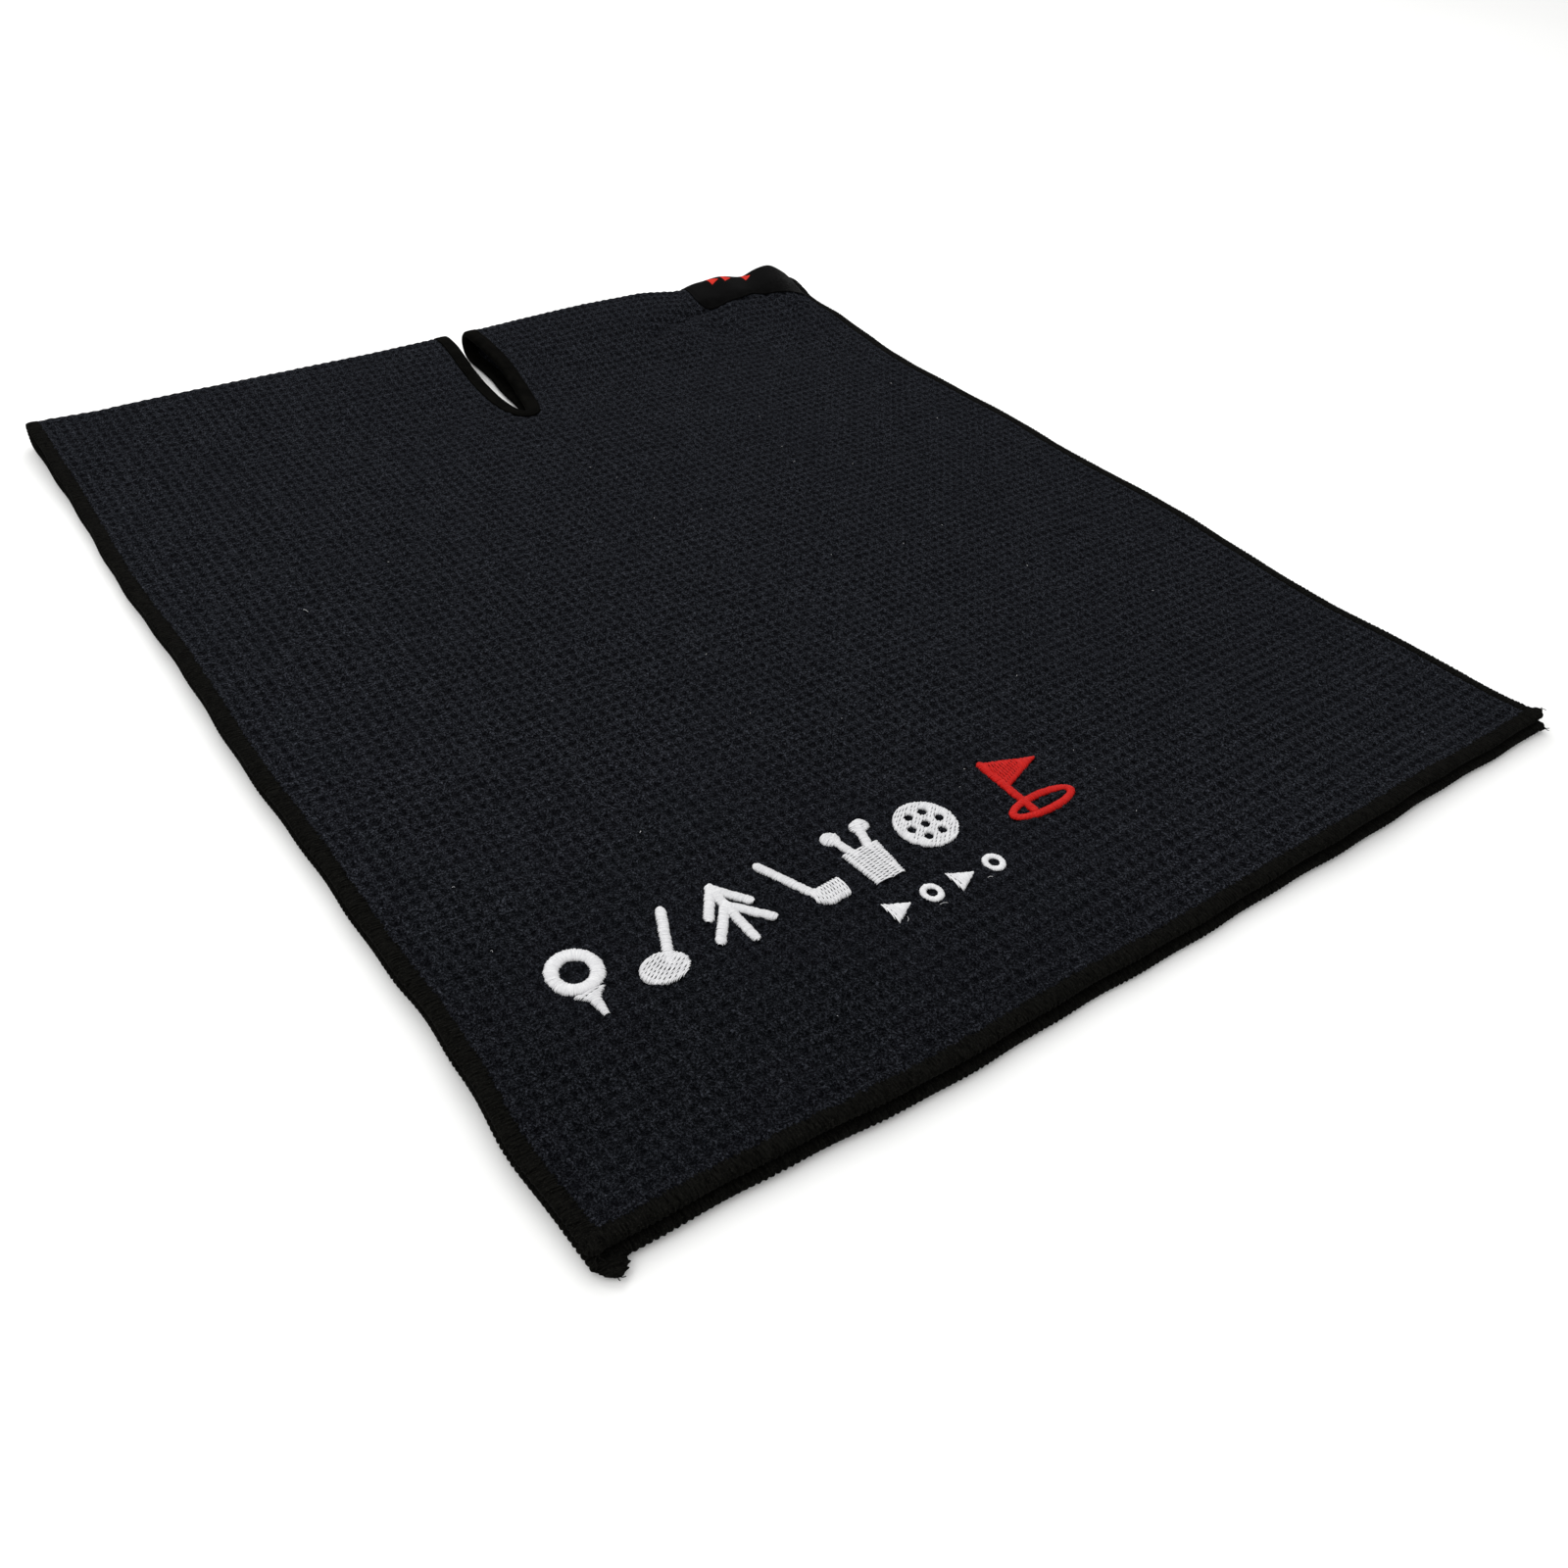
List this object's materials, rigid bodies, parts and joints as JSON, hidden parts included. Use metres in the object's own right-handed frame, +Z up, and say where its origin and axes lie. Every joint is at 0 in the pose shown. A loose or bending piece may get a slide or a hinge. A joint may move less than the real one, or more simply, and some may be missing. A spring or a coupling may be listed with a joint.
{
  "type": "golf towel",
  "caption": "Waffle microfibre golf towel folded once, with overlocked edges, a bound hanging slit across the fold, a wrap-over label and embroidery; it opens flat.",
  "frame": {"origin": "centre of the bottom of the folded towel, on the surface it lies on", "axes": "+X along the hems to the label's side, +Y from the two hems to the fold, +Z up"},
  "size_m": [0.403, 0.4647, 0.0143],
  "materials": {
    "cloth": "matte waffle-weave microfibre, charcoal navy",
    "edging": "black overlock thread",
    "binding": "smooth black binding tape",
    "label": "black satin",
    "print_red": "matte red print",
    "thread_white": "white satin-stitch embroidery thread",
    "thread_red": "red satin-stitch embroidery thread",
    "backing": "thin non-woven embroidery backing"
  },
  "bodies": {
    "lower_half": {"lower_leaf": "cloth", "lower_edging_left": "edging", "lower_edging_right": "edging", "lower_hem_edging": "edging", "lower_thread_tail_left": "edging", "lower_thread_tail_right": "edging", "slit_binding_lower": "binding", "label_lower": "label", "fold_roll_left": "cloth", "fold_roll_right": "cloth", "fold_roll_under_label": "cloth", "fold_edging_left": "edging", "fold_edging_right": "edging", "slit_binding_fold_left": "binding", "slit_binding_fold_right": "binding", "label_fold": "label"},
    "upper_half": {"upper_leaf": "cloth", "upper_edging_left": "edging", "upper_edging_right": "edging", "upper_hem_edging": "edging", "upper_thread_tail_left": "edging", "upper_thread_tail_right": "edging", "slit_binding_upper": "binding", "label_upper": "label", "label_print_1": "print_red", "label_print_2": "print_red", "label_print_3": "print_red", "embroidery_ball_on_tee": "thread_white", "embroidery_driver": "thread_white", "embroidery_pine_tree": "thread_white", "embroidery_iron": "thread_white", "embroidery_golf_bag": "thread_white", "embroidery_dimpled_ball": "thread_white", "embroidery_small_pennant_1": "thread_white", "embroidery_small_ball_1": "thread_white", "embroidery_small_pennant_2": "thread_white", "embroidery_small_ball_2": "thread_white", "embroidery_pin_flag": "thread_red", "embroidery_backing": "backing"}
  },
  "joints": [
    {"name": "fold", "type": "hinge", "parent": "lower_half", "child": "upper_half", "pos_m": [0, 0.22554, 0.0065], "axis": [-1, 0, 0], "range_deg": [0, 180.8], "deforming": ["fold_roll_left", "fold_roll_right", "fold_roll_under_label", "fold_edging_left", "fold_edging_right", "slit_binding_fold_left", "slit_binding_fold_right", "label_fold"]}
  ]
}
